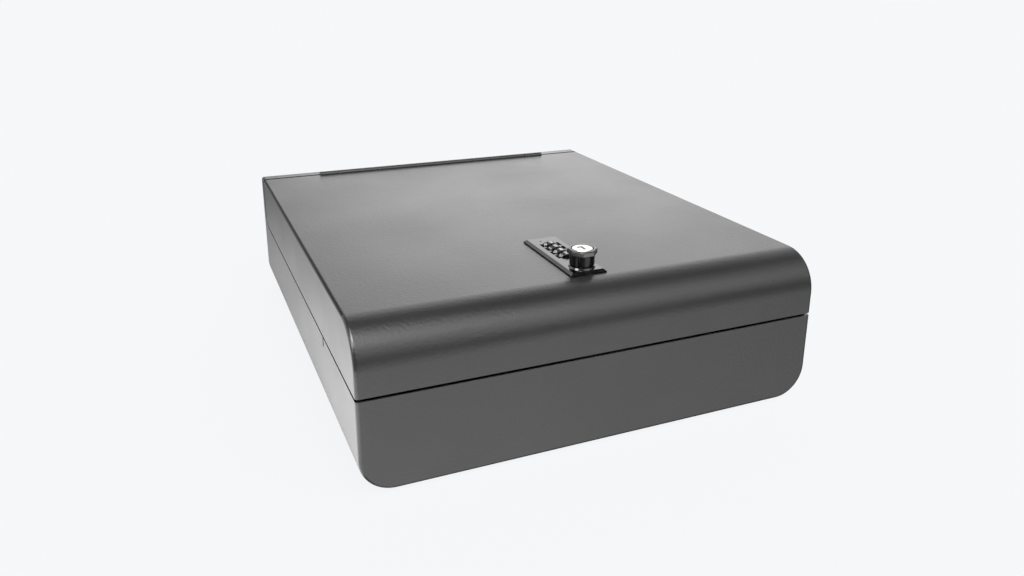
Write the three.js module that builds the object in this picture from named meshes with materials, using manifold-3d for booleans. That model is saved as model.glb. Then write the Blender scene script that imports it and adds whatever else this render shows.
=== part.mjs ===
// Lock box of powder-coated sheet steel: a base with rounded long edges, a lid whose top rolls
// down into its front, a piano hinge along the back, and a four-wheel combination lock with a
// knob and a key override, set into the lid near the front.
// Millimetres, +Z up, +X to the right and +Y to the back as seen from the front. The origin is
// at the middle of the footprint, on the surface that the feet stand on.

import * as THREE from 'three';
import { mergeVertices } from 'three/addons/utils/BufferGeometryUtils.js';
import Module from 'manifold-3d';

const wasm = await Module();
wasm.setup();

// Box: outside sizes, with heights measured from the underside of the base
const boxWidth = 268;
const boxDepth = 310;
const boxHeight = 86.6;
const baseHeight = 50.9;
const shutGap = 0.8;
const sheet = 1.2;
const weldGap = 0.2;
const baseCornerRadius = 18.5;
const riserTopRadius = 2;
const panelEdgeRadius = 2;
const weldFlangeDepth = 12;
const weldFlangeTopClearance = 6;

// Riser, flange and gap at the back, and the relief slits in the rim of the side walls
const rearFlangeDepth = 10.2;
const rearGap = 2.4;
const riserCornerRadius = 10;
const rimSlitFromFront = 76.5;
const rimSlitWidth = 0.6;
const rimSlitDepth = 5.4;

// Lid
const lidRollRadius = 22;
const lidEdgeRadius = 2;
const lidWeldFlangeDepth = 10;

// Feet
const footRadius = 6;
const footHeight = 1.5;
const footChamfer = 0.4;
const footFromSide = 34;
const footFromEnd = 30;

// Piano hinge, whose axis lies in the middle of the rear gap at the height of the lid's top
const hingeLength = 190;
const hingeOffset = 4;
const knuckleCount = 12;
const knuckleGap = 0.3;
const leafThickness = 1;
const lidLeafWidth = 16;
const leafEdgeClearance = 0.5;
const hingePinRadius = 1.1;
const hingeBoreClearance = 0.2;

// Strike, a bent strip welded inside the front of the base, with its hook inside the lid
const strikeWidth = 46;
const strikeTabHeight = 20;
const strikeTabBelowRim = 4;
const strikeSetback = 2;
const strikeReach = 9;
const strikeGap = 0.6;

// Lock plate, with places measured from the knob's axis
const plateFromFront = 23.8;
const plateWidth = 21.5;
const plateLength = 62.8;
const plateHeight = 1.9;
const plateSquareEdge = 0.7;
const plateBevel = 1.6;
const knobFromPlateEnd = 8.8;
const bossRadius = 7.4;
const bossTopRadius = 6.9;
const bossHeight = 1;
const resetHoleRadius = 0.6;
const resetHoleDepth = 5;
const resetHoleAside = 2.9;
const resetHoleFromKnob = 46.8;

// Number wheels
const wheelCount = 4;
const wheelPitch = 6.8;
const nearWheelFromKnob = 18.8;
const wheelRadius = 6;
const wheelWidth = 4.8;
const wheelRise = 1.7;
const wheelDigits = 10;
const wheelNotchDepth = 0.6;
const wheelLandShare = 0.74;
const wheelSideClearance = 0.3;
const wheelEndClearance = 0.5;
const wheelShaftRadius = 1.5;
const wheelBoreClearance = 0.2;
const shaftBoreClearance = 0.1;
const shaftBlindDepth = 1.4;

// Lock housing under the lid
const housingWidth = 16.4;
const housingHeight = 17;
const housingAheadOfKnob = 6.4;
const housingBehindKnob = 51.5;
const cutoutClearance = 0.3;
const springThickness = 0.4;
const springWidth = 4;
const springChannelHeight = 1.5;
const springChannelClearance = 0.3;
const springFingerGap = 0.3;
const springFingerFoot = 4.2;
const springFingerTop = 1.6;

// Knob, key plug and spindle
const knobBodyRadius = 6.9;
const knobBodyHeight = 6.55;
const knobFootChamfer = 0.5;
const knobHeadFlats = 15.3;
const knobHeadHeight = 2.7;
const knobHeadChamfer = 0.5;
const knobRunningGap = 0.3;
const plugFaceRadius = 5.8;
const plugFaceThickness = 1;
const plugFaceClearance = 0.4;
const plugFaceChamfer = 0.2;
const plugBarrelRadius = 4.5;
const plugBarrelLength = 6;
const plugClearance = 0.2;
const keySlotLength = 5;
const keySlotWidth = 1;
const keySlotAside = 0.4;
const keySlotDepth = 5;
const keyWardReach = 2.1;
const keyWardWidth = 1.2;
const spindleRadius = 3.8;
const spindleClearance = 0.3;
const spindleTailRadius = 3;
const spindleTailFlats = 4.6;
const spindleTailLength = 8;
const spindleBelowHousing = 2.5;

// Cam, washer and nut
const camThickness = 2.5;
const camHubRadius = 7.5;
const camArmWidth = 13;
const camToStrikeLeg = 2;
const camHoleClearance = 0.1;
const washerRadius = 5.6;
const washerThickness = 0.8;
const nutFlats = 10;
const nutThickness = 3;
const threadClearance = 0.15;

// Saddle clamps that hold the lock to the lid
const clampStrapWidth = 8;
const clampFootLength = 6;
const clampSideClearance = 0.3;
const frontClampFromKnob = 12.5;
const rearClampFromHousingEnd = 4.5;
const clampScrewRadius = 1.5;
const clampScrewLength = 7;
const clampHeadRadius = 2.8;
const clampHeadHeight = 1.8;
const clampHoleClearance = 0.15;

// Fineness and the length by which a cut runs past what it cuts
const cutOverrun = 3;
const bigArcSegments = 16;
const smallArcSegments = 4;
const edgeSegments = 4;
const roundSegments = 32;
const pinSegments = 16;

// Levels and places that follow from the sizes
const halfWidth = boxWidth / 2;
const halfDepth = boxDepth / 2;
const bottomZ = footHeight;
const topZ = footHeight + boxHeight;
const rimZ = footHeight + baseHeight;
const lidEdgeZ = rimZ + shutGap;
const hingeY = halfDepth - rearFlangeDepth - rearGap / 2;
const lidBackY = hingeY - rearGap / 2;
const riserFrontY = hingeY + rearGap / 2;
const barrelRadius = sheet + leafThickness;
const knobY = -halfDepth + plateFromFront + knobFromPlateEnd;
const plateTopZ = topZ + plateHeight;
const wheelZ = plateTopZ + wheelRise - wheelRadius;
const housingBottomZ = topZ - housingHeight;
const pocketBottomZ = wheelZ - wheelRadius - wheelEndClearance;
const knobBottomZ = plateTopZ + bossHeight + knobRunningGap;
const knobHeadZ = knobBottomZ + knobBodyHeight;
const knobTopZ = knobHeadZ + knobHeadHeight;
const housingBackY = knobY + housingBehindKnob;
const frontClampY = knobY + frontClampFromKnob;
const rearClampY = housingBackY - rearClampFromHousingEnd;
const camTopZ = housingBottomZ - spindleBelowHousing;
const strikeHookZ = camTopZ + strikeGap;
const strikeLegY = -halfDepth + sheet + strikeSetback;
const allX = [-halfWidth - cutOverrun, halfWidth + cutOverrun];
const allY = [-halfDepth - cutOverrun, halfDepth + cutOverrun];
const allZ = [-cutOverrun, knobTopZ + cutOverrun];
const quarterTurn = Math.PI / 2;

// Materials
const powderCoat = { color: 0x4b4b4d, roughness: 0.62, metalness: 0.15 };
const blackEnamel = { color: 0x141416, roughness: 0.22, metalness: 0.2 };
const wheelBlack = { color: 0x1b1b1d, roughness: 0.38, metalness: 0.1 };
const dieCast = { color: 0x8d8f92, roughness: 0.5, metalness: 0.85 };
const brightNickel = { color: 0xe6e7e8, roughness: 0.16, metalness: 1 };
const zincSteel = { color: 0xa9acb0, roughness: 0.4, metalness: 0.95 };
const springSteel = { color: 0x9a9c9f, roughness: 0.3, metalness: 1 };
const rubber = { color: 0x1a1a1a, roughness: 0.9, metalness: 0 };

// Solids

function solidOf(geometry) {
  geometry.deleteAttribute('normal');
  geometry.deleteAttribute('uv');
  const merged = mergeVertices(geometry);
  const corners = merged.index.array;
  const triVerts = [];
  for (let i = 0; i < corners.length; i += 3) {
    const [a, b, c] = [corners[i], corners[i + 1], corners[i + 2]];
    if (a !== b && b !== c && c !== a) triVerts.push(a, b, c);
  }
  return new wasm.Manifold(new wasm.Mesh({
    numProp: 3,
    vertProperties: new Float32Array(merged.attributes.position.array),
    triVerts: new Uint32Array(triVerts),
  }));
}

// A box between two limits on each axis
function block([x0, x1], [y0, y1], [z0, z1]) {
  const geometry = new THREE.BoxGeometry(x1 - x0, y1 - y0, z1 - z0);
  geometry.translate((x0 + x1) / 2, (y0 + y1) / 2, (z0 + z1) / 2);
  return solidOf(geometry);
}

const axisX = new THREE.Vector3(1, 0, 0);
const axisY = new THREE.Vector3(0, 1, 0);
const axisZ = new THREE.Vector3(0, 0, 1);
const shapeTurn = {
  x: new THREE.Matrix4().makeBasis(axisY, axisZ, axisX),
  y: new THREE.Matrix4().makeBasis(axisX, axisZ, axisY.clone().negate()),
  z: new THREE.Matrix4(),
};

// A flat shape extruded along an axis. Its plane is (y, z) along x, (x, z) along y, (x, y) along z
function prism(shape, axis, [from, to], curveSegments = smallArcSegments) {
  const settings = { depth: to - from, bevelEnabled: false, curveSegments };
  const geometry = new THREE.ExtrudeGeometry(shape, settings);
  geometry.applyMatrix4(shapeTurn[axis]);
  if (axis === 'x') geometry.translate(from, 0, 0);
  if (axis === 'y') geometry.translate(0, to, 0);
  if (axis === 'z') geometry.translate(0, 0, from);
  return solidOf(geometry);
}

// A round bar along an axis through a point, between two places on that axis
function rod(axis, radius, at, [from, to], segments = roundSegments) {
  const geometry = new THREE.CylinderGeometry(radius, radius, to - from, segments);
  const middle = (from + to) / 2;
  if (axis === 'x') geometry.rotateZ(quarterTurn).translate(middle, at.y, at.z);
  if (axis === 'y') geometry.translate(at.x, middle, at.z);
  if (axis === 'z') geometry.rotateX(quarterTurn).translate(at.x, at.y, middle);
  return solidOf(geometry);
}

// A revolved profile of (radius, z) points round the vertical through (x, y)
function revolve(profile, x, y, segments = roundSegments) {
  const points = profile.map(([radius, z]) => new THREE.Vector2(radius, z));
  const geometry = new THREE.LatheGeometry(points, segments);
  geometry.rotateX(quarterTurn).translate(x, y, 0);
  return solidOf(geometry);
}

// A solid through convex rings that have the same number of points, closed by flat ends
function loft(rings) {
  const count = rings[0].length;
  const points = rings.flat();
  const faces = [];
  for (let ring = 0; ring + 1 < rings.length; ring++) {
    for (let i = 0; i < count; i++) {
      const a = ring * count + i;
      const b = ring * count + (i + 1) % count;
      faces.push([a, b, b + count], [a, b + count, a + count]);
    }
  }
  const last = (rings.length - 1) * count;
  for (let i = 1; i + 1 < count; i++) {
    faces.push([0, i + 1, i], [last, last + i, last + i + 1]);
  }
  const cross = new THREE.Vector3();
  let volume = 0;
  for (const [a, b, c] of faces) {
    volume += points[a].dot(cross.crossVectors(points[b], points[c]));
  }
  const index = faces.flatMap(([a, b, c]) => (volume > 0 ? [a, b, c] : [a, c, b]));
  const geometry = new THREE.BufferGeometry().setFromPoints(points);
  geometry.setIndex(index);
  return solidOf(geometry);
}

// Corner points of a rectangle that is drawn in by an inset, anticlockwise from the lower left.
// Each corner has a radius and a number of segments; a corner of radius zero is one point.
function roundedRectangle(left, right, bottom, top, corners, inset) {
  const [u0, u1, v0, v1] = [left + inset, right - inset, bottom + inset, top - inset];
  const places = [[u0, v0, 1, 1], [u1, v0, -1, 1], [u1, v1, -1, -1], [u0, v1, 1, -1]];
  const points = [];
  places.forEach(([u, v, su, sv], corner) => {
    const { radius, segments } = corners[corner];
    const drawn = Math.max(radius - inset, 0);
    const start = Math.PI + corner * quarterTurn;
    for (let step = 0; step <= segments; step++) {
      const angle = start + quarterTurn * (segments ? step / segments : 0);
      const round = radius ? drawn : 0;
      points.push([u + round * (su + Math.cos(angle)), v + round * (sv + Math.sin(angle))]);
    }
  });
  return points;
}

// Closed outline of a bent strip: a path and the same path moved to its left by the thickness
function bentStrip(path, thickness) {
  const points = path.map(([u, v]) => new THREE.Vector2(u, v));
  const moved = points.map((point, i) => {
    const before = i > 0 ? point.clone().sub(points[i - 1]).normalize() : null;
    const after = i + 1 < points.length ? points[i + 1].clone().sub(point).normalize() : null;
    const first = before ?? after;
    const second = after ?? before;
    const normal = new THREE.Vector2(-first.y - second.y, first.x + second.x).normalize();
    const spread = thickness / (normal.x * -first.y + normal.y * first.x);
    return point.clone().addScaledVector(normal, spread);
  });
  return new THREE.Shape([...points, ...moved.reverse()]);
}

function regularPolygon(sides, flats, turn = 0) {
  const radius = flats / 2 / Math.cos(Math.PI / sides);
  return Array.from({ length: sides }, (_, i) => {
    const angle = turn + (2 * Math.PI * i) / sides;
    return [radius * Math.cos(angle), radius * Math.sin(angle)];
  });
}

const box = new THREE.Group();

function addPiece(name, solid, finish) {
  const { vertProperties, triVerts, numProp } = solid.getMesh();
  const geometry = new THREE.BufferGeometry();
  const positions = new THREE.BufferAttribute(new Float32Array(vertProperties), numProp);
  geometry.setAttribute('position', positions);
  geometry.setIndex(new THREE.BufferAttribute(new Uint32Array(triVerts), 1));
  geometry.computeVertexNormals();
  const mesh = new THREE.Mesh(geometry, new THREE.MeshStandardMaterial(finish));
  mesh.name = name;
  box.add(mesh);
}

// Base

// Outline of the closed box seen from the front, drawn in by an inset
function boxRing(inset, y) {
  const long = { radius: baseCornerRadius, segments: bigArcSegments };
  const short = { radius: riserTopRadius, segments: smallArcSegments };
  const corners = [long, long, short, short];
  const outline = roundedRectangle(-halfWidth, halfWidth, bottomZ, topZ, corners, inset);
  return outline.map(([x, z]) => new THREE.Vector3(x, y, z));
}

// Steps round the edge between a block's end and its sides, from the end inwards
function roundedEdge(inset, radius) {
  return Array.from({ length: edgeSegments + 1 }, (_, step) => {
    const angle = quarterTurn * (step / edgeSegments);
    return {
      inset: inset + radius * (1 - Math.sin(angle)),
      fromEnd: inset + radius * (1 - Math.cos(angle)),
    };
  });
}

// The closed box as a block, drawn in all round, with rounded edges at the front and the back
function boxBlock(inset, edgeRadius) {
  const rings = roundedEdge(inset, edgeRadius);
  const front = rings.map((ring) => boxRing(ring.inset, -halfDepth + ring.fromEnd));
  const back = rings.toReversed().map((ring) => boxRing(ring.inset, halfDepth - ring.fromEnd));
  return loft([...front, ...back]);
}

// Side view of what belongs to the base: all under the rim, and the riser at the back
function baseRegion() {
  const [front, back] = [-halfDepth - cutOverrun, halfDepth + cutOverrun];
  const corner = riserCornerRadius + shutGap;
  const shape = new THREE.Shape();
  shape.moveTo(front, bottomZ - cutOverrun);
  shape.lineTo(back, bottomZ - cutOverrun);
  shape.lineTo(back, topZ + cutOverrun);
  shape.lineTo(riserFrontY, topZ + cutOverrun);
  shape.lineTo(riserFrontY, rimZ + corner);
  shape.absarc(riserFrontY - corner, rimZ + corner, corner, 0, -quarterTurn, true);
  shape.lineTo(front, rimZ);
  return prism(shape, 'x', allX, bigArcSegments);
}

// Room for the hinge barrel in the lid's top and in the flange behind it
function hingeNotch() {
  const reach = barrelRadius + knuckleGap;
  return block(
    [hingeOffset - hingeLength / 2 - knuckleGap, hingeOffset + hingeLength / 2 + knuckleGap],
    [hingeY - reach, hingeY + reach],
    [topZ - sheet - weldGap, topZ + cutOverrun],
  );
}

// Strip inside the wrap by which an end panel is welded in
function weldFlange(y0, y1) {
  const outer = sheet + weldGap;
  const ring = (inset, ends) => loft(ends.map((y) => boxRing(inset, y)));
  return ring(outer, [y0, y1]).subtract(ring(outer + sheet, [y0 - cutOverrun, y1 + cutOverrun]));
}

const frontSeamY = -halfDepth + panelEdgeRadius;
const backSeamY = halfDepth - panelEdgeRadius;
const region = baseRegion();
const baseSheet = boxBlock(0, panelEdgeRadius)
  .subtract(boxBlock(sheet, panelEdgeRadius - sheet))
  .intersect(region);

function addBase() {
  const flangeZone = block(
    [-halfWidth + riserTopRadius, halfWidth - riserTopRadius],
    [riserFrontY - cutOverrun, backSeamY],
    [topZ - riserTopRadius, topZ + cutOverrun],
  );
  const slitFrontY = -halfDepth + rimSlitFromFront - rimSlitWidth / 2;
  const slits = block(
    allX,
    [slitFrontY, slitFrontY + rimSlitWidth],
    [rimZ - rimSlitDepth, rimZ + cutOverrun],
  );
  const wrap = baseSheet
    .intersect(block(allX, [frontSeamY, backSeamY], allZ))
    .subtract(flangeZone)
    .subtract(slits);
  addPiece('base_shell', wrap, powderCoat);

  const frontWeld = weldFlange(-halfDepth + sheet / 2, -halfDepth + weldFlangeDepth);
  const frontPanel = baseSheet
    .intersect(block(allX, [-halfDepth - cutOverrun, frontSeamY], allZ))
    .add(frontWeld.intersect(region));
  addPiece('base_front_panel', frontPanel, powderCoat);

  const weldTopZ = topZ - weldFlangeTopClearance;
  const belowFlange = block(allX, [0, halfDepth], [0, weldTopZ]);
  const backWeld = weldFlange(halfDepth - weldFlangeDepth, halfDepth - sheet / 2);
  const backPanel = baseSheet
    .intersect(block(allX, [backSeamY, halfDepth + cutOverrun], allZ))
    .add(baseSheet.intersect(flangeZone))
    .subtract(hingeNotch())
    .add(backWeld.intersect(region).intersect(belowFlange));
  addPiece('base_back_panel', backPanel, powderCoat);
}

function addFeet() {
  const profile = [
    [0, 0],
    [footRadius - footChamfer, 0],
    [footRadius, footChamfer],
    [footRadius, footHeight],
    [0, footHeight],
  ];
  const [footX, footY] = [halfWidth - footFromSide, halfDepth - footFromEnd];
  addPiece('foot_front_left', revolve(profile, -footX, -footY), rubber);
  addPiece('foot_front_right', revolve(profile, footX, -footY), rubber);
  addPiece('foot_back_left', revolve(profile, -footX, footY), rubber);
  addPiece('foot_back_right', revolve(profile, footX, footY), rubber);
}

function addStrike() {
  const wallY = -halfDepth + sheet;
  const shelfZ = rimZ - strikeTabBelowRim;
  const path = [
    [wallY, shelfZ - strikeTabHeight],
    [wallY, shelfZ],
    [strikeLegY, shelfZ],
    [strikeLegY, strikeHookZ + sheet],
    [strikeLegY + strikeReach, strikeHookZ + sheet],
  ];
  const mirrored = path.map(([y, z]) => [y, -z]);
  const outline = bentStrip(mirrored, sheet).getPoints().map((p) => new THREE.Vector2(p.x, -p.y));
  const strike = prism(new THREE.Shape(outline), 'x', [-strikeWidth / 2, strikeWidth / 2]);
  addPiece('strike_bracket', strike, powderCoat);
}

// Lid

// Outline of the lid seen from the side, drawn in by an inset. Its lower and back edges lie
// past the lid's real ones, so that what is made from it is open there once it is trimmed.
function lidRing(inset, x) {
  const square = { radius: 0, segments: 0 };
  const roll = { radius: lidRollRadius, segments: bigArcSegments };
  const outline = roundedRectangle(
    -halfDepth,
    lidBackY + cutOverrun,
    lidEdgeZ - cutOverrun,
    topZ,
    [square, square, square, roll],
    inset,
  );
  return outline.map(([y, z]) => new THREE.Vector3(x, y, z));
}

// The lid as a block, drawn in all round, with rounded edges at the two sides
function lidBlock(inset, edgeRadius) {
  const rings = roundedEdge(inset, edgeRadius);
  const left = rings.map((ring) => lidRing(ring.inset, -halfWidth + ring.fromEnd));
  const right = rings.toReversed().map((ring) => lidRing(ring.inset, halfWidth - ring.fromEnd));
  return loft([...left, ...right]);
}

// Side view of what belongs to the lid, with its lower back corner rounded
function lidRegion() {
  const corner = riserCornerRadius;
  const shape = new THREE.Shape();
  shape.moveTo(-halfDepth - cutOverrun, lidEdgeZ);
  shape.lineTo(lidBackY - corner, lidEdgeZ);
  shape.absarc(lidBackY - corner, lidEdgeZ + corner, corner, -quarterTurn, 0, false);
  shape.lineTo(lidBackY, topZ + cutOverrun);
  shape.lineTo(-halfDepth - cutOverrun, topZ + cutOverrun);
  return prism(shape, 'x', allX, bigArcSegments);
}

const lidSheet = lidBlock(0, lidEdgeRadius)
  .subtract(lidBlock(sheet, lidEdgeRadius - sheet))
  .intersect(lidRegion());
const lidSeamX = halfWidth - lidEdgeRadius;

function addLidShell() {
  const cutout = block(
    [-housingWidth / 2 - cutoutClearance, housingWidth / 2 + cutoutClearance],
    [knobY - housingAheadOfKnob - cutoutClearance, housingBackY + cutoutClearance],
    [topZ - lidRollRadius, topZ + cutOverrun],
  );
  const shell = lidSheet
    .intersect(block([-lidSeamX, lidSeamX], allY, allZ))
    .subtract(hingeNotch())
    .subtract(cutout);
  addPiece('lid_shell', shell, powderCoat);
}

// A side of the lid, side 1 to the right and side -1 to the left, with the strip by which it is
// welded inside the top, the roll and the front
function addLidSide(name, side) {
  const outer = sheet + weldGap;
  const along = (a, b) => [side * a, side * b].sort((u, v) => u - v);
  const strip = (inset, x0, x1) => loft([lidRing(inset, side * x0), lidRing(inset, side * x1)]);
  const flangeX = halfWidth - lidWeldFlangeDepth;
  const flange = strip(outer, flangeX, halfWidth - sheet / 2)
    .subtract(strip(outer + sheet, flangeX - cutOverrun, halfWidth + cutOverrun));
  const panel = lidSheet
    .intersect(block(along(lidSeamX, halfWidth + cutOverrun), allY, allZ))
    .add(flange.intersect(lidRegion()));
  addPiece(name, panel, powderCoat);
}

// Piano hinge

function knuckleSpan(knuckle) {
  const pitch = hingeLength / knuckleCount;
  const start = hingeOffset - hingeLength / 2 + knuckle * pitch;
  return [start + knuckleGap / 2, start + pitch - knuckleGap / 2];
}

// A leaf to one side of the barrel, side 1 to the back and side -1 to the front
function hingeLeaf(side, edgeY, parity) {
  const span = [hingeOffset - hingeLength / 2, hingeOffset + hingeLength / 2];
  const leafZ = [topZ - barrelRadius, topZ - barrelRadius + leafThickness];
  const between = (a, b) => [Math.min(a, b), Math.max(a, b)];
  const axis = { y: hingeY, z: topZ };
  const innerY = hingeY + side * (barrelRadius + knuckleGap);
  let leaf = block(span, between(innerY, edgeY), leafZ);
  for (let knuckle = parity; knuckle < knuckleCount; knuckle += 2) {
    const ends = knuckleSpan(knuckle);
    leaf = leaf
      .add(rod('x', barrelRadius, axis, ends, pinSegments))
      .add(block(ends, between(hingeY, innerY), leafZ));
  }
  const bore = rod('x', hingePinRadius + hingeBoreClearance, axis, allX, pinSegments);
  return leaf.subtract(bore);
}

function addHinge() {
  const baseEdgeY = backSeamY - leafEdgeClearance;
  addPiece('hinge_base_leaf', hingeLeaf(1, baseEdgeY, 0), powderCoat);
  addPiece('hinge_lid_leaf', hingeLeaf(-1, hingeY - lidLeafWidth, 1), powderCoat);
  const ends = [knuckleSpan(0)[0], knuckleSpan(knuckleCount - 1)[1]];
  const pin = rod('x', hingePinRadius, { y: hingeY, z: topZ }, ends, pinSegments);
  addPiece('hinge_pin', pin, zincSteel);
}

// Combination lock

function wheelY(number) {
  return knobY + nearWheelFromKnob + (wheelCount - number) * wheelPitch;
}

// The opening round one wheel between two levels, as long as the wheel is at the level given
function wheelPocket(number, [z0, z1], widestZ) {
  const reach = Math.sqrt(wheelRadius ** 2 - (widestZ - wheelZ) ** 2) + wheelEndClearance;
  const halfSlot = wheelWidth / 2 + wheelSideClearance;
  return block([-reach, reach], [wheelY(number) - halfSlot, wheelY(number) + halfSlot], [z0, z1]);
}

function addLockPlate() {
  const [front, back] = [knobY - knobFromPlateEnd, knobY - knobFromPlateEnd + plateLength];
  const square = { radius: 0, segments: 0 };
  const corners = [square, square, square, square];
  const ring = (inset, z) =>
    roundedRectangle(-plateWidth / 2, plateWidth / 2, front, back, corners, inset)
      .map(([x, y]) => new THREE.Vector3(x, y, z));
  const boss = revolve([
    [0, topZ + plateSquareEdge],
    [bossRadius, topZ + plateSquareEdge],
    [bossRadius, plateTopZ],
    [bossTopRadius, plateTopZ + bossHeight],
    [0, plateTopZ + bossHeight],
  ], 0, knobY);
  let plate = loft([ring(0, topZ), ring(0, topZ + plateSquareEdge), ring(plateBevel, plateTopZ)])
    .add(boss);
  for (let number = 1; number <= wheelCount; number++) {
    plate = plate.subtract(wheelPocket(number, allZ, topZ));
  }
  const axis = { x: 0, y: knobY };
  const spindleBore = rod('z', spindleRadius + spindleClearance, axis, allZ);
  plate = plate.subtract(spindleBore).subtract(resetHole());
  addPiece('lock_plate', plate, blackEnamel);
}

function resetHole() {
  const at = { x: -resetHoleAside, y: knobY + resetHoleFromKnob };
  return rod('z', resetHoleRadius, at, [plateTopZ - resetHoleDepth, allZ[1]], pinSegments);
}

const shaftFrontY = wheelY(wheelCount) - wheelWidth / 2 - wheelSideClearance - shaftBlindDepth;

function addLockHousing() {
  const axis = { x: 0, y: knobY };
  let housing = block(
    [-housingWidth / 2, housingWidth / 2],
    [knobY - housingAheadOfKnob, housingBackY],
    [housingBottomZ, topZ],
  );
  for (let number = 1; number <= wheelCount; number++) {
    housing = housing.subtract(wheelPocket(number, [pocketBottomZ, allZ[1]], wheelZ));
  }
  const shaftBore = wheelShaftRadius + shaftBoreClearance;
  const boreEnds = [shaftFrontY, housingBackY + cutOverrun];
  const channelHalf = springWidth / 2 + springChannelClearance;
  const channel = block(
    [-channelHalf, channelHalf],
    boreEnds,
    [pocketBottomZ - springChannelHeight, pocketBottomZ],
  );
  housing = housing
    .subtract(rod('y', shaftBore, { x: 0, z: wheelZ }, boreEnds, pinSegments))
    .subtract(channel)
    .subtract(rod('z', spindleRadius + spindleClearance, axis, allZ))
    .subtract(resetHole());
  for (const y of [frontClampY, rearClampY]) {
    const at = { x: 0, y };
    const depth = clampScrewLength - sheet + clampHoleClearance;
    const ends = [housingBottomZ - cutOverrun, housingBottomZ + depth];
    const radius = clampScrewRadius + clampHoleClearance;
    housing = housing.subtract(rod('z', radius, at, ends, pinSegments));
  }
  addPiece('lock_housing', housing, dieCast);
}

function addWheels() {
  const land = (Math.PI / wheelDigits) * wheelLandShare;
  const outline = [];
  for (let digit = 0; digit < wheelDigits; digit++) {
    const middle = quarterTurn + (2 * Math.PI * digit) / wheelDigits;
    for (const angle of [middle - land, middle - land / 3, middle + land / 3, middle + land]) {
      const [x, z] = [wheelRadius * Math.cos(angle), wheelRadius * Math.sin(angle)];
      outline.push(new THREE.Vector2(x, wheelZ + z));
    }
    const notch = middle + Math.PI / wheelDigits;
    const floor = wheelRadius - wheelNotchDepth;
    const [x, z] = [floor * Math.cos(notch), floor * Math.sin(notch)];
    outline.push(new THREE.Vector2(x, wheelZ + z));
  }
  for (let number = 1; number <= wheelCount; number++) {
    const ends = [wheelY(number) - wheelWidth / 2, wheelY(number) + wheelWidth / 2];
    const bore = wheelShaftRadius + wheelBoreClearance;
    const wheel = prism(new THREE.Shape(outline), 'y', ends)
      .subtract(rod('y', bore, { x: 0, z: wheelZ }, allY, pinSegments));
    addPiece(`number_wheel_${number}`, wheel, wheelBlack);
  }
  const shaftEnds = [shaftFrontY, housingBackY - sheet];
  const shaft = rod('y', wheelShaftRadius, { x: 0, z: wheelZ }, shaftEnds, pinSegments);
  addPiece('wheel_shaft', shaft, zincSteel);
}

// A flat spring with a raised finger under each wheel, on the floor of its channel
function addDetentSpring() {
  const floorZ = pocketBottomZ - springChannelHeight;
  const fingerZ = wheelZ - wheelRadius - springFingerGap - springThickness;
  const path = [[shaftFrontY + springChannelClearance, floorZ]];
  for (let number = wheelCount; number >= 1; number--) {
    const middle = wheelY(number);
    path.push([middle - springFingerFoot / 2, floorZ]);
    path.push([middle - springFingerTop / 2, fingerZ]);
    path.push([middle + springFingerTop / 2, fingerZ]);
    path.push([middle + springFingerFoot / 2, floorZ]);
  }
  path.push([wheelY(1) + springFingerFoot, floorZ]);
  const spring = prism(bentStrip(path, springThickness), 'x', [-springWidth / 2, springWidth / 2]);
  addPiece('detent_spring', spring, springSteel);
}

function addKnob() {
  const boreRadius = plugBarrelRadius + plugClearance;
  const boreBottomZ = knobTopZ - plugFaceThickness - plugBarrelLength - plugClearance;
  const octagon = (inset, z) =>
    regularPolygon(8, knobHeadFlats - 2 * inset, Math.PI / 8)
      .map(([x, y]) => new THREE.Vector3(x, knobY + y, z));
  const head = loft([
    octagon(0, knobHeadZ),
    octagon(0, knobTopZ - knobHeadChamfer),
    octagon(knobHeadChamfer, knobTopZ),
  ]);
  const body = revolve([
    [0, knobBottomZ],
    [knobBodyRadius - knobFootChamfer, knobBottomZ],
    [knobBodyRadius, knobBottomZ + knobFootChamfer],
    [knobBodyRadius, knobHeadZ + knobHeadHeight / 2],
    [0, knobHeadZ + knobHeadHeight / 2],
  ], 0, knobY);
  const axis = { x: 0, y: knobY };
  const faceRecess = [knobTopZ - plugFaceThickness - plugClearance, allZ[1]];
  const knob = head
    .add(body)
    .subtract(rod('z', plugFaceRadius + plugFaceClearance, axis, faceRecess))
    .subtract(rod('z', boreRadius, axis, [boreBottomZ, allZ[1]]));
  addPiece('lock_knob', knob, blackEnamel);
}

function addKeyPlug() {
  const faceZ = knobTopZ - plugFaceThickness;
  const body = revolve([
    [0, faceZ - plugBarrelLength],
    [plugBarrelRadius, faceZ - plugBarrelLength],
    [plugBarrelRadius, faceZ],
    [plugFaceRadius, faceZ],
    [plugFaceRadius, knobTopZ - plugFaceChamfer],
    [plugFaceRadius - plugFaceChamfer, knobTopZ],
    [0, knobTopZ],
  ], 0, knobY);
  const depth = [knobTopZ - keySlotDepth, allZ[1]];
  const slotBackY = knobY + keySlotLength / 2;
  const slot = block(
    [keySlotAside - keySlotWidth / 2, keySlotAside + keySlotWidth / 2],
    [slotBackY - keySlotLength, slotBackY],
    depth,
  );
  const ward = block([-keyWardReach, keySlotAside], [slotBackY - keyWardWidth, slotBackY], depth);
  addPiece('key_plug', body.subtract(slot.add(ward)), brightNickel);
}

// A round bar with two flats across X, along the knob's axis
function doubleD(radius, flats, ends) {
  const flat = block([-flats / 2, flats / 2], allY, allZ);
  return rod('z', radius, { x: 0, y: knobY }, ends, roundSegments).intersect(flat);
}

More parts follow.
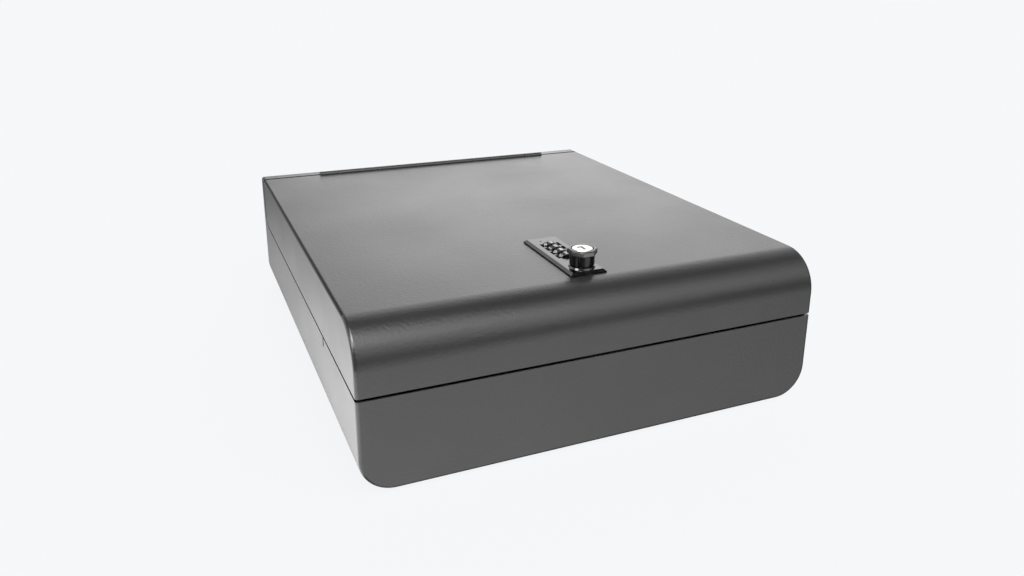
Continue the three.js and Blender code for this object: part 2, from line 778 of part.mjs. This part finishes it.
function addSpindleAndCam() {
  const axis = { x: 0, y: knobY };
  const tailEnds = [camTopZ - spindleTailLength, camTopZ + cutOverrun];
  const spindle = rod('z', spindleRadius, axis, [camTopZ, knobBottomZ])
    .add(doubleD(spindleTailRadius, spindleTailFlats, tailEnds));
  addPiece('lock_spindle', spindle, zincSteel);

  const camZ = [camTopZ - camThickness, camTopZ];
  const camReach = knobY - (strikeLegY + sheet + camToStrikeLeg);
  const arm = new THREE.Shape();
  const armHalf = camArmWidth / 2;
  arm.moveTo(0, knobY - armHalf);
  arm.lineTo(0, knobY + armHalf);
  arm.lineTo(-camReach + armHalf, knobY + armHalf);
  arm.absarc(-camReach + armHalf, knobY, armHalf, quarterTurn, 3 * quarterTurn, false);
  const hole = doubleD(
    spindleTailRadius + camHoleClearance,
    spindleTailFlats + 2 * camHoleClearance,
    allZ,
  );
  const cam = prism(arm, 'z', camZ, bigArcSegments)
    .add(rod('z', camHubRadius, axis, camZ))
    .subtract(hole);
  addPiece('lock_cam', cam, zincSteel);

  const washerZ = [camZ[0] - washerThickness, camZ[0]];
  const nutZ = [washerZ[0] - nutThickness, washerZ[0]];
  const threadHole = rod('z', spindleTailRadius + threadClearance, axis, allZ);
  const washer = rod('z', washerRadius, axis, washerZ).subtract(threadHole);
  addPiece('cam_washer', washer, zincSteel);
  const hexagon = regularPolygon(6, nutFlats).map(([x, y]) => new THREE.Vector2(x, knobY + y));
  addPiece('cam_nut', prism(new THREE.Shape(hexagon), 'z', nutZ).subtract(threadHole), zincSteel);
}

// Saddle clamp under the housing, with its feet against the underside of the lid
function addClamp(place, y) {
  const at = { x: 0, y };
  const sideX = housingWidth / 2 + clampSideClearance + sheet;
  const lidZ = topZ - sheet;
  const path = [
    [-sideX - clampFootLength, lidZ - sheet],
    [-sideX, lidZ - sheet],
    [-sideX, housingBottomZ - sheet],
    [sideX, housingBottomZ - sheet],
    [sideX, lidZ - sheet],
    [sideX + clampFootLength, lidZ - sheet],
  ];
  const ends = [y - clampStrapWidth / 2, y + clampStrapWidth / 2];
  const hole = rod('z', clampScrewRadius + clampHoleClearance, at, allZ, pinSegments);
  addPiece(`lock_clamp_${place}`, prism(bentStrip(path, sheet), 'y', ends).subtract(hole), zincSteel);
  const seatZ = housingBottomZ - sheet;
  const screw = revolve([
    [0, seatZ - clampHeadHeight],
    [clampHeadRadius / 2, seatZ - clampHeadHeight],
    [clampHeadRadius, seatZ - clampHeadHeight / 2],
    [clampHeadRadius, seatZ],
    [clampScrewRadius, seatZ],
    [clampScrewRadius, seatZ + clampScrewLength - clampHoleClearance],
    [0, seatZ + clampScrewLength - clampHoleClearance],
  ], at.x, at.y, pinSegments);
  addPiece(`clamp_screw_${place}`, screw, zincSteel);
}

addBase();
addFeet();
addStrike();
addLidShell();
addLidSide('lid_side_left', -1);
addLidSide('lid_side_right', 1);
addHinge();
addLockPlate();
addLockHousing();
addWheels();
addDetentSpring();
addKnob();
addKeyPlug();
addSpindleAndCam();
addClamp('front', frontClampY);
addClamp('rear', rearClampY);

export default box;
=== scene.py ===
import math

import bmesh
import bpy
from mathutils import Matrix, Vector


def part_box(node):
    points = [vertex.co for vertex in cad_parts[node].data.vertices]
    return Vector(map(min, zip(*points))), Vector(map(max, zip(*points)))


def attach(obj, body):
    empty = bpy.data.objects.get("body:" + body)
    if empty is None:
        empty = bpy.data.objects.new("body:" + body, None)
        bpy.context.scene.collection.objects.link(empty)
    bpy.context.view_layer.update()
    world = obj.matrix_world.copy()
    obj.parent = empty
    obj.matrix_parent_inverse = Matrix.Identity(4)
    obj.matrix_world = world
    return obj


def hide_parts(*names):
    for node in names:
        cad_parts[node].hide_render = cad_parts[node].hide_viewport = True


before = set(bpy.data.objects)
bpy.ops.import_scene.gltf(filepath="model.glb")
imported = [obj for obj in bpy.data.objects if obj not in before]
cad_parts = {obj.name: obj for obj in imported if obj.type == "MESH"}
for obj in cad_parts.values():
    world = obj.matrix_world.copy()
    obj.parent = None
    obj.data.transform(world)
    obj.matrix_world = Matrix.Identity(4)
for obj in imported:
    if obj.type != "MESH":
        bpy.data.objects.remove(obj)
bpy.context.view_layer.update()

MM = 0.001

# Camera, measured in the frame of the part
IMAGE_WIDTH, IMAGE_HEIGHT = 1024, 576
FOCAL_PIXELS = 844.03
PRINCIPAL_ROW = 220
CAMERA_PLACE = Vector((-204.72, -504.29, 249.29)) * MM
CAMERA_YAW = math.radians(23.152)
CAMERA_PITCH = math.radians(17.142)
CAMERA_ROLL = math.radians(-0.269)
SENSOR_WIDTH = 36


def add_camera():
    data = bpy.data.cameras.new("camera")
    data.sensor_width = SENSOR_WIDTH
    data.lens = FOCAL_PIXELS * SENSOR_WIDTH / IMAGE_WIDTH
    data.shift_y = (PRINCIPAL_ROW - IMAGE_HEIGHT / 2) / IMAGE_WIDTH
    camera = bpy.data.objects.new("camera", data)
    forward = Vector((
        math.sin(CAMERA_YAW) * math.cos(CAMERA_PITCH),
        math.cos(CAMERA_YAW) * math.cos(CAMERA_PITCH),
        -math.sin(CAMERA_PITCH),
    ))
    level = forward.cross(Vector((0, 0, 1))).normalized()
    upright = level.cross(forward)
    cosine, sine = math.cos(CAMERA_ROLL), math.sin(CAMERA_ROLL)
    right = cosine * level - sine * upright
    up = sine * level + cosine * upright
    turn = Matrix((right, up, -forward)).transposed().to_4x4()
    camera.matrix_world = Matrix.Translation(CAMERA_PLACE) @ turn
    bpy.context.scene.collection.objects.link(camera)
    bpy.context.scene.camera = camera


add_camera()


# Node helpers

def add_node(tree, kind, **settings):
    node = tree.nodes.new(kind)
    for name, value in settings.items():
        setattr(node, name, value)
    return node


def feed(tree, node, socket, value):
    """Links an output to a socket, or sets the socket to a plain value."""
    if isinstance(value, bpy.types.NodeSocket):
        tree.links.new(value, node.inputs[socket])
    else:
        node.inputs[socket].default_value = value


def math_node(tree, operation, first, second):
    node = add_node(tree, "ShaderNodeMath", operation=operation)
    feed(tree, node, 0, first)
    feed(tree, node, 1, second)
    return node.outputs[0]


def map_range(tree, value, source, target, kind="LINEAR"):
    node = add_node(tree, "ShaderNodeMapRange", interpolation_type=kind)
    feed(tree, node, "Value", value)
    node.inputs["From Min"].default_value, node.inputs["From Max"].default_value = source
    node.inputs["To Min"].default_value, node.inputs["To Max"].default_value = target
    return node.outputs["Result"]


def added(tree, values):
    total = values[0]
    for value in values[1:]:
        total = math_node(tree, "ADD", total, value)
    return total


# Studio: soft lights as bright regions of the surroundings, each (azimuth from +Y towards +X,
# elevation, strength), angles in degrees. A wide light fades out over 30 degrees, a narrow one
# over 14 and a tight one over 9. Those below the horizon stand for light that comes off the floor.

WIDE, NARROW, TIGHT = (4, 30), (2, 14), (1, 9)
SOFT_LIGHTS = [
    (WIDE, [
        (0, -52, 1.24),
        (180, -52, 1.85),
        (-168, -25, 0.47),
        (-60, -25, 1.7),
        (-24, -25, 0.24),
        (120, -25, 0.29),
        (156, -25, 2.17),
        (-60, 5, 2.21),
        (-30, 5, 0.92),
        (30, 5, 1.51),
        (60, 5, 0.63),
        (15, 35, 1.33),
        (51, 35, 0.95),
        (123, 35, 1.19),
        (159, 35, 2.39),
        (180, 62, 4.32),
    ]),
    (NARROW, [
        (12, 5, 0.53),
        (29, 5, 0.47),
        (12, 14, 0.36),
        (29, 14, 0.26),
        (46, 23, 0.19),
        (12, 34, 0.77),
        (29, 34, 0.42),
        (46, 34, 0.37),
    ]),
    (TIGHT, [
        (-13.5, 29.5, 1.2),
    ]),
]

# Round lamps at the left, for highlights alone: (azimuth, elevation, distance, radius, radiance)
LAMPS = [
    (-135, 58, 2.0, 0.45, 26),
    (-109, 31, 2.0, 0.42, 14),
]

# Pools of light on the floor beside the box: (place along X and Y, radius, strength)
POOLS = [
    (-190, -130, 170, 1.42),
    (-190, -10, 170, 1.31),
    (-190, 110, 170, 0.78),
    (-190, 230, 170, 0.47),
    (-190, 350, 170, 0.2),
    (-215, -205, 140, 3.5),
]


def direction(azimuth, elevation):
    a, e = math.radians(azimuth), math.radians(elevation)
    return Vector((math.sin(a) * math.cos(e), math.cos(a) * math.cos(e), math.sin(e)))


def add_surroundings():
    world = bpy.data.worlds.new("surroundings")
    world.use_nodes = True
    tree = world.node_tree
    tree.nodes.clear()
    out = add_node(tree, "ShaderNodeOutputWorld")
    background = add_node(tree, "ShaderNodeBackground")
    coordinates = add_node(tree, "ShaderNodeTexCoord")
    glows = []
    for (inner, outer), lights in SOFT_LIGHTS:
        edge = (math.cos(math.radians(outer)), math.cos(math.radians(inner)))
        for azimuth, elevation, strength in lights:
            dot = add_node(tree, "ShaderNodeVectorMath", operation="DOT_PRODUCT")
            tree.links.new(coordinates.outputs["Generated"], dot.inputs[0])
            dot.inputs[1].default_value = direction(azimuth, elevation)
            glow = map_range(tree, dot.outputs["Value"], edge, (0, strength), "SMOOTHSTEP")
            glows.append(glow)
    tree.links.new(added(tree, glows), background.inputs["Strength"])
    tree.links.new(background.outputs[0], out.inputs[0])
    world.cycles.sampling_method = "NONE"
    bpy.context.scene.world = world
    bpy.context.scene.view_settings.view_transform = "Standard"


add_surroundings()


def add_lamps():
    for azimuth, elevation, distance, radius, radiance in LAMPS:
        light = bpy.data.lights.new("lamp", "AREA")
        light.shape = "DISK"
        light.size = 2 * radius
        light.energy = radiance * (math.pi * radius) ** 2
        lamp = bpy.data.objects.new("lamp", light)
        away = direction(azimuth, elevation)
        lamp.location = away * distance
        lamp.rotation_euler = away.to_track_quat("Z", "Y").to_euler()
        lamp.visible_camera = False
        lamp.visible_diffuse = False
        bpy.context.scene.collection.objects.link(lamp)


add_lamps()


# Floor and backdrop

FLOOR_RADIUS = 6
BACKDROP_RADIUS = 5.8
FLOOR_GLOW = 0.89
FLOOR_ALBEDO = 0.05
BACKDROP_GLOW = 0.935
PALE = (0.993, 1, 1.016)
POOL_CARD_SIZE = (1.2, 2.4, 1)
POOL_CARD_PLACE = (-0.738, 0.3, 0.0005)


def glowing_material(name, albedo, glow):
    material = bpy.data.materials.new(name)
    material.use_nodes = True
    shader = material.node_tree.nodes["Principled BSDF"]
    shader.inputs["Base Color"].default_value = (albedo, albedo, albedo, 1)
    shader.inputs["Roughness"].default_value = 1
    shader.inputs["Specular IOR Level"].default_value = 0
    shader.inputs["Emission Color"].default_value = (*PALE, 1)
    shader.inputs["Emission Strength"].default_value = glow
    return material


def add_stage():
    bpy.ops.mesh.primitive_circle_add(radius=FLOOR_RADIUS, vertices=128, fill_type="NGON")
    floor = bpy.context.object
    floor.name = "floor"
    floor.data.materials.append(glowing_material("floor", FLOOR_ALBEDO, FLOOR_GLOW))
    floor.visible_glossy = False
    bpy.ops.mesh.primitive_uv_sphere_add(radius=BACKDROP_RADIUS, segments=64, ring_count=32)
    backdrop = bpy.context.object
    backdrop.name = "backdrop"
    backdrop.data.materials.append(glowing_material("backdrop", 0, BACKDROP_GLOW))
    for ray in ("diffuse", "glossy", "transmission", "shadow", "volume_scatter"):
        setattr(backdrop, f"visible_{ray}", False)
    pool_card()


def pool_card():
    """Clear sheet on the floor at the left that adds its glow to what is mirrored in the wall."""
    bpy.ops.mesh.primitive_grid_add(size=1, x_subdivisions=1, y_subdivisions=1)
    card = bpy.context.object
    card.name = "floor_glow"
    card.scale = POOL_CARD_SIZE
    card.location = POOL_CARD_PLACE
    bpy.ops.object.transform_apply()
    material = bpy.data.materials.new("floor_glow")
    material.use_nodes = True
    tree = material.node_tree
    tree.nodes.clear()
    out = add_node(tree, "ShaderNodeOutputMaterial")
    both = add_node(tree, "ShaderNodeAddShader")
    clear = add_node(tree, "ShaderNodeBsdfTransparent")
    glow = add_node(tree, "ShaderNodeEmission")
    place = add_node(tree, "ShaderNodeNewGeometry")
    pools = []
    for x, y, radius, strength in POOLS:
        far = add_node(tree, "ShaderNodeVectorMath", operation="DISTANCE")
        tree.links.new(place.outputs["Position"], far.inputs[0])
        far.inputs[1].default_value = (x * MM, y * MM, POOL_CARD_PLACE[2])
        reach = (radius * MM, 0)
        pools.append(map_range(tree, far.outputs["Value"], reach, (0, strength), "SMOOTHSTEP"))
    tree.links.new(added(tree, pools), glow.inputs["Strength"])
    tree.links.new(clear.outputs[0], both.inputs[0])
    tree.links.new(glow.outputs[0], both.inputs[1])
    tree.links.new(both.outputs[0], out.inputs[0])
    card.data.materials.append(material)
    for ray in ("camera", "diffuse", "transmission", "shadow", "volume_scatter"):
        setattr(card, f"visible_{ray}", False)
    return card


add_stage()


# Materials

NOISE_ROUGHNESS = 0.5
NOISE_SPAN = (0.3, 0.7)
PATCH_SPAN = (0.35, 0.65)
COAT_DETAIL = 3
COAT_RELIEF_STRENGTH = 0.5


def grain(tree, scale, detail):
    coordinates = add_node(tree, "ShaderNodeTexCoord")
    node = add_node(tree, "ShaderNodeTexNoise")
    tree.links.new(coordinates.outputs["Object"], node.inputs["Vector"])
    node.inputs["Scale"].default_value = scale
    node.inputs["Detail"].default_value = detail
    node.inputs["Roughness"].default_value = NOISE_ROUGHNESS
    return node.outputs["Fac"]


def tinted(tree, factor, dark, light):
    node = add_node(tree, "ShaderNodeMix", data_type="RGBA")
    tree.links.new(factor, node.inputs["Factor"])
    node.inputs[6].default_value = (*dark, 1)
    node.inputs[7].default_value = (*light, 1)
    return node.outputs[2]


def bumped(tree, height, distance, strength, under=None):
    node = add_node(tree, "ShaderNodeBump")
    node.inputs["Strength"].default_value = strength
    node.inputs["Distance"].default_value = distance
    tree.links.new(height, node.inputs["Height"])
    if under:
        tree.links.new(under, node.inputs["Normal"])
    return node.outputs["Normal"]


def new_material(name):
    material = bpy.data.materials.new(name)
    material.use_nodes = True
    tree = material.node_tree
    return material, tree, tree.nodes["Principled BSDF"]


# Powder coat: (cells in a metre, detail) of its three grains, and (distance, strength) of relief
FINE_GRAIN = (2600, 3)
COARSE_GRAIN = (600, 2)
PATCHES = (14, 3)
FINE_RELIEF = (0.00007, 0.6)
COARSE_RELIEF = (0.00012, 0.9)
COAT_GLOSS = (0.28, 0.33)


def powder_coat(name, dark, light, ior):
    material, tree, shader = new_material(name)
    fine = grain(tree, *FINE_GRAIN)
    coarse = grain(tree, *COARSE_GRAIN)
    patch = grain(tree, *PATCHES)
    mix = map_range(tree, fine, NOISE_SPAN, (0, 1))
    base = tinted(tree, mix, dark, light)
    tree.links.new(base, shader.inputs["Base Color"])
    gloss = map_range(tree, patch, PATCH_SPAN, COAT_GLOSS)
    tree.links.new(gloss, shader.inputs["Roughness"])
    relief = bumped(tree, coarse, *COARSE_RELIEF)
    relief = bumped(tree, fine, *FINE_RELIEF, relief)
    tree.links.new(relief, shader.inputs["Normal"])
    shader.inputs["IOR"].default_value = ior
    return material


def plain_coat(name, dark, light, gloss, scale, metallic, ior=1.5, relief=0.0):
    """One noise of scale cells in a metre, from the dark to the light colour and over gloss."""
    material, tree, shader = new_material(name)
    texture = grain(tree, scale, COAT_DETAIL)
    tree.links.new(tinted(tree, texture, dark, light), shader.inputs["Base Color"])
    rough = map_range(tree, texture, NOISE_SPAN, gloss)
    tree.links.new(rough, shader.inputs["Roughness"])
    shader.inputs["Metallic"].default_value = metallic
    shader.inputs["IOR"].default_value = ior
    if relief:
        height = bumped(tree, texture, relief, COAT_RELIEF_STRENGTH)
        tree.links.new(height, shader.inputs["Normal"])
    return material


def grey(low, high):
    return (low,) * 3, (high,) * 3


PAINT = powder_coat("powder_coat", (0.028, 0.028, 0.029), (0.040, 0.040, 0.041), 1.5)
# Darker, duller copy of the powder coat: painted shade along the lid's long top edges
PAINTED_EDGE_SHADE = powder_coat("painted_edge_shade", *grey(0.008, 0.012), 1.22)
KNOB_BLACK = plain_coat("knob_black", *grey(0.004, 0.007), (0.1, 0.16), 300, 0, 1.55)
# Brighter copy of the knob's black: a painted sheen on the upright flats of its head
KNOB_PAINTED_SHEEN = plain_coat("knob_painted_sheen", *grey(0.008, 0.012), (0.2, 0.28), 300, 0, 1.9)
# Darker copy of the knob's black: painted shade on the upright faces nearer its axis, the body
# under the head
KNOB_PAINTED_SHADE = plain_coat("knob_painted_shade", *grey(0.003, 0.005), (0.1, 0.16), 300, 0, 1.38)
PLATE_BLACK = plain_coat("plate_black", *grey(0.003, 0.005), (0.14, 0.2), 300, 0, 1.65)
# Near-black matte: painted shade along the plate's low outer edge, where it meets the lid
PLATE_EDGE_SHADE = plain_coat("plate_edge_shade", *grey(0.001, 0.002), (0.85, 0.95), 300, 0, 1.15)
WHEEL = plain_coat("wheel_black", *grey(0.003, 0.006), (0.16, 0.24), 900, 0, 1.42)
DIGIT = plain_coat("digit_white", *grey(0.75, 0.85), (0.4, 0.5), 900, 0, 1.5)
CAST_COLOURS = (0.32, 0.33, 0.34), (0.42, 0.43, 0.44)
NICKEL_COLOURS = (0.44, 0.435, 0.42), (0.5, 0.495, 0.48)
BRASS_COLOURS = (0.16, 0.1, 0.04), (0.26, 0.17, 0.07)
ZINC_COLOURS = (0.5, 0.51, 0.53), (0.62, 0.63, 0.65)
SPRING_COLOURS = (0.4, 0.41, 0.43), (0.5, 0.51, 0.53)
CAST = plain_coat("die_cast", *CAST_COLOURS, (0.4, 0.6), 500, 1, 1.5, 0.00005)
NICKEL = plain_coat("bright_nickel", *NICKEL_COLOURS, (0.16, 0.24), 800, 1)
BRASS = plain_coat("keyway_brass", *BRASS_COLOURS, (0.3, 0.5), 900, 1)
ZINC = plain_coat("zinc_steel", *ZINC_COLOURS, (0.26, 0.4), 350, 1, 1.5, 0.00002)
SPRING = plain_coat("spring_steel", *SPRING_COLOURS, (0.2, 0.3), 600, 1)
RUBBER = plain_coat("rubber", *grey(0.01, 0.02), (0.7, 0.9), 700, 0, 1.4, 0.00004)


# Pieces that stand for sheet-metal nodes: the nodes' own shapes, joined over their welds

WELD = 1e-6
FLAT = math.radians(0.5)
BEVEL_SEGMENTS = 2
FACE_WEIGHT = 100


def joined(nodes, in_seam=None):
    """One mesh of several nodes, without the faces by which they meet."""
    shape = bmesh.new()
    for node in nodes:
        shape.from_mesh(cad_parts[node].data)
    bmesh.ops.remove_doubles(shape, verts=shape.verts, dist=WELD)
    if in_seam:
        inner = [f for f in shape.faces if in_seam(f.calc_center_median(), f.normal)]
        bmesh.ops.delete(shape, geom=inner, context="FACES_ONLY")
        loose = [e for e in shape.edges if not e.link_faces]
        bmesh.ops.delete(shape, geom=loose, context="EDGES")
    bmesh.ops.dissolve_limit(
        shape, angle_limit=FLAT, verts=shape.verts, edges=shape.edges, delimit={"MATERIAL"}
    )
    bmesh.ops.recalc_face_normals(shape, faces=shape.faces)
    return shape


def add_piece(name, shape, nodes, body, materials, bevel=0.0, crease=32):
    """A shape as a piece that rides on a body. crease is the least angle of a sharp edge."""
    mesh = bpy.data.meshes.new(name)
    shape.to_mesh(mesh)
    shape.free()
    for material in materials:
        mesh.materials.append(material)
    mesh.shade_smooth()
    mesh.set_sharp_from_angle(angle=math.radians(crease))
    piece = bpy.data.objects.new(name, mesh)
    bpy.context.scene.collection.objects.link(piece)
    if bevel:
        edge = piece.modifiers.new("edge", "BEVEL")
        edge.width = bevel
        edge.segments = BEVEL_SEGMENTS
        edge.limit_method = "ANGLE"
        edge.angle_limit = math.radians(crease)
        edge.miter_outer = "MITER_ARC"
        edge.use_clamp_overlap = True
        normals = piece.modifiers.new("normals", "WEIGHTED_NORMAL")
        normals.weight = FACE_WEIGHT
    if nodes:
        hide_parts(*nodes)
    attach(piece, body)


# Planes in which the nodes meet: base panels along Y, back flange and lid sides along X
BASE_SEAM_Y = 153 * MM
FLANGE_SEAM_X = 132 * MM
LID_SEAM_X = 132 * MM
FLANGE_LOW_Z = 86 * MM
NEAR = 0.01 * MM
ACROSS = 0.999


def base_seam(centre, normal):
    along_y = abs(abs(centre.y) - BASE_SEAM_Y) < NEAR and abs(normal.y) > ACROSS
    along_x = abs(abs(centre.x) - FLANGE_SEAM_X) < NEAR and abs(normal.x) > ACROSS
    return along_y or (along_x and centre.z > FLANGE_LOW_Z)


def lid_seam(centre, normal):
    return abs(abs(centre.x) - LID_SEAM_X) < NEAR and abs(normal.x) > ACROSS


base_nodes = ["base_shell", "base_front_panel", "base_back_panel"]
lid_nodes = ["lid_shell", "lid_side_left", "lid_side_right"]
base_shape = joined(base_nodes, base_seam)
lid_shape = joined(lid_nodes, lid_seam)

# The shut line is opened by an ease of each edge, more at the front than at the sides, and the
# slits in the rim are opened at their back edge
SHUT_GAP = 0.8 * MM
LID_EDGE_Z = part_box("lid_side_left")[0][2]
RIM_Z = LID_EDGE_Z - SHUT_GAP
SIDE_EASE = 0.15 * MM
FRONT_EASE = 0.35 * MM
FRONT_Y = -150 * MM
SLIT_BACK_Y = -78.2 * MM
SLIT_EASE = 1.6 * MM


def shut_ease(vertex):
    return FRONT_EASE if vertex.co.y < FRONT_Y else SIDE_EASE


for vertex in lid_shape.verts:
    if abs(vertex.co.z - LID_EDGE_Z) < NEAR:
        vertex.co.z += shut_ease(vertex)
for vertex in base_shape.verts:
    if abs(vertex.co.z - RIM_Z) < NEAR:
        vertex.co.z -= shut_ease(vertex)
    if abs(vertex.co.y - SLIT_BACK_Y) < NEAR and vertex.co.z < LID_EDGE_Z:
        vertex.co.y += SLIT_EASE

# The lid's long rounded top edges, given a darker, duller copy of the coat as painted shade
ROLL_END_Y = -133 * MM
SLANT = 0.3
for face in lid_shape.faces:
    slanted = abs(face.normal.x) > SLANT and face.normal.z > SLANT
    if slanted and face.calc_center_median().y > ROLL_END_Y:
        face.material_index = 1

SHEET_BEVEL = 0.25 * MM
LID_COAT_AND_EDGE_SHADE = [PAINT, PAINTED_EDGE_SHADE]
add_piece("base_body", base_shape, base_nodes, "base", [PAINT], SHEET_BEVEL)
add_piece("lid_body", lid_shape, lid_nodes, "lid", LID_COAT_AND_EDGE_SHADE, SHEET_BEVEL)


def dress(node, body, materials, bevel, crease=32, zone=None):
    """A node's own shape with eased edges. zone gives the number of a face's material."""
    shape = joined([node])
    if zone:
        for face in shape.faces:
            face.material_index = zone(face.calc_center_median(), face.normal)
    add_piece(f"{node}_dressed", shape, [node], body, materials, bevel, crease)


LEAF_BEVEL = 0.12 * MM
dress("hinge_base_leaf", "base", [PAINT], LEAF_BEVEL)
dress("hinge_lid_leaf", "lid", [PAINT], LEAF_BEVEL)


# Lock: plate with painted shade on its low outer edge, knob with a painted sheen on the flats of
# its head and painted shade on its body, key plug with a dark slot. UPRIGHT is the most that the
# normal of an upright face may rise

def middle(node):
    low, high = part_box(node)
    return Vector([(a + b) / 2 for a, b in zip(low, high)])


PLATE_LOW, PLATE_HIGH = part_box("lock_plate")
PLATE_BEVEL_DROP = 2.1 * MM
PLATE_EDGE_Z = PLATE_HIGH[2] - PLATE_BEVEL_DROP
PLATE_EDGE_X = 10 * MM
KNOB_TOP_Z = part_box("lock_knob")[1][2]
PLUG_Y = middle("key_plug").y
PLUG_SLOT_REACH = 3.6 * MM
KNOB_FLAT_REACH = 7.5 * MM
UPRIGHT = 0.1
LOCK_CREASE = 25
PLUG_CREASE = 40
KNOB_BLACK_SHEEN_AND_SHADE = [KNOB_BLACK, KNOB_PAINTED_SHEEN, KNOB_PAINTED_SHADE]


# The upright faces of the plate's low outer edge take the painted shade
def plate_zone(centre, normal):
    x_end = abs(centre.x) > PLATE_EDGE_X
    y_end = min(centre.y - PLATE_LOW.y, PLATE_HIGH.y - centre.y) < NEAR
    below = centre.z < PLATE_EDGE_Z
    return 1 if (x_end or y_end) and below and abs(normal.z) < UPRIGHT else 0


def plug_zone(centre, normal):
    inside = math.hypot(centre.x, centre.y - PLUG_Y) < PLUG_SLOT_REACH
    return 1 if inside and centre.z < KNOB_TOP_Z - NEAR else 0


# Upright faces out on the head's flats take the painted sheen, upright faces further in take the
# painted shade
def knob_zone(centre, normal):
    if abs(normal.z) > UPRIGHT:
        return 0
    return 1 if math.hypot(centre.x, centre.y - PLUG_Y) > KNOB_FLAT_REACH else 2


PLATE_BLACK_AND_EDGE_SHADE = [PLATE_BLACK, PLATE_EDGE_SHADE]
PLUG_COATS = [NICKEL, BRASS]
dress("lock_plate", "lid", PLATE_BLACK_AND_EDGE_SHADE, 0.2 * MM, LOCK_CREASE, plate_zone)
dress("lock_knob", "knob", KNOB_BLACK_SHEEN_AND_SHADE, 0.15 * MM, LOCK_CREASE, knob_zone)
dress("key_plug", "plug", PLUG_COATS, 0.06 * MM, PLUG_CREASE, plug_zone)


# Digits on the number wheels

WHEEL_RADIUS = 6 * MM
WHEEL_BEVEL = 0.1 * MM
DIGIT_COUNT = 10
DIGIT_SIZE = 4.2 * MM
DIGIT_RISE = 0.03 * MM
DIGIT_DEPTH = 0.12 * MM
DIGIT_THICKENING = 0.1 * MM
DIGIT_CUTS = [-0.9, -0.6, -0.3, 0, 0.3, 0.6, 0.9]
DIGITS_ON_TOP = {1: 3, 2: 0, 3: 8, 4: 5}


def flat_digit(character):
    """A plain numeral as a thin block, x along its width and y up."""
    letters = bpy.data.curves.new("numeral", "FONT")
    letters.body = character
    letters.size = DIGIT_SIZE
    letters.align_x = "CENTER"
    letters.align_y = "CENTER"
    letters.offset = DIGIT_THICKENING
    letters.extrude = DIGIT_DEPTH / 2
    letters.resolution_u = 3
    holder = bpy.data.objects.new("numeral", letters)
    bpy.context.scene.collection.objects.link(holder)
    bpy.context.view_layer.update()
    shape = bmesh.new()
    mesh = bpy.data.meshes.new_from_object(holder)
    shape.from_mesh(mesh)
    bpy.data.objects.remove(holder)
    bpy.data.curves.remove(letters)
    bpy.data.meshes.remove(mesh)
    bmesh.ops.remove_doubles(shape, verts=shape.verts, dist=WELD)
    for cut in DIGIT_CUTS:
        everything = shape.verts[:] + shape.edges[:] + shape.faces[:]
        bmesh.ops.bisect_plane(
            shape, geom=everything, plane_co=(cut * MM, 0, 0), plane_no=(1, 0, 0)
        )
    low = min(v.co.y for v in shape.verts)
    high = max(v.co.y for v in shape.verts)
    for vertex in shape.verts:
        vertex.co.y -= (low + high) / 2
    return shape


def add_digits(number):
    """Ten numerals bent round a wheel, with their tops towards the back."""
    centre = middle(f"number_wheel_{number}")
    total = bmesh.new()
    for step in range(DIGIT_COUNT):
        digit = flat_digit(str((DIGITS_ON_TOP[number] + step) % DIGIT_COUNT))
        turn = -2 * math.pi * step / DIGIT_COUNT
        for vertex in digit.verts:
            radius = WHEEL_RADIUS + DIGIT_RISE - DIGIT_DEPTH / 2 + vertex.co.z
            angle = turn + vertex.co.x / WHEEL_RADIUS
            across, along = radius * math.sin(angle), vertex.co.y
            vertex.co = centre + Vector((across, along, radius * math.cos(angle)))
        part = bpy.data.meshes.new("numeral")
        digit.to_mesh(part)
        digit.free()
        total.from_mesh(part)
        bpy.data.meshes.remove(part)
    name = f"number_wheel_{number}_digits"
    add_piece(name, total, [], f"wheel_{number}", [DIGIT])


for number in range(1, 5):
    node, body = f"number_wheel_{number}", f"wheel_{number}"
    dress(node, body, [WHEEL], WHEEL_BEVEL, LOCK_CREASE)
    add_digits(number)

KEPT = {
    "foot_front_left": RUBBER,
    "foot_front_right": RUBBER,
    "foot_back_left": RUBBER,
    "foot_back_right": RUBBER,
    "strike_bracket": PAINT,
    "hinge_pin": ZINC,
    "lock_housing": CAST,
    "wheel_shaft": ZINC,
    "detent_spring": SPRING,
    "lock_spindle": ZINC,
    "lock_cam": ZINC,
    "cam_washer": ZINC,
    "cam_nut": ZINC,
    "lock_clamp_front": ZINC,
    "lock_clamp_rear": ZINC,
    "clamp_screw_front": ZINC,
    "clamp_screw_rear": ZINC,
}
for node, material in KEPT.items():
    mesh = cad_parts[node].data
    mesh.materials.clear()
    mesh.materials.append(material)
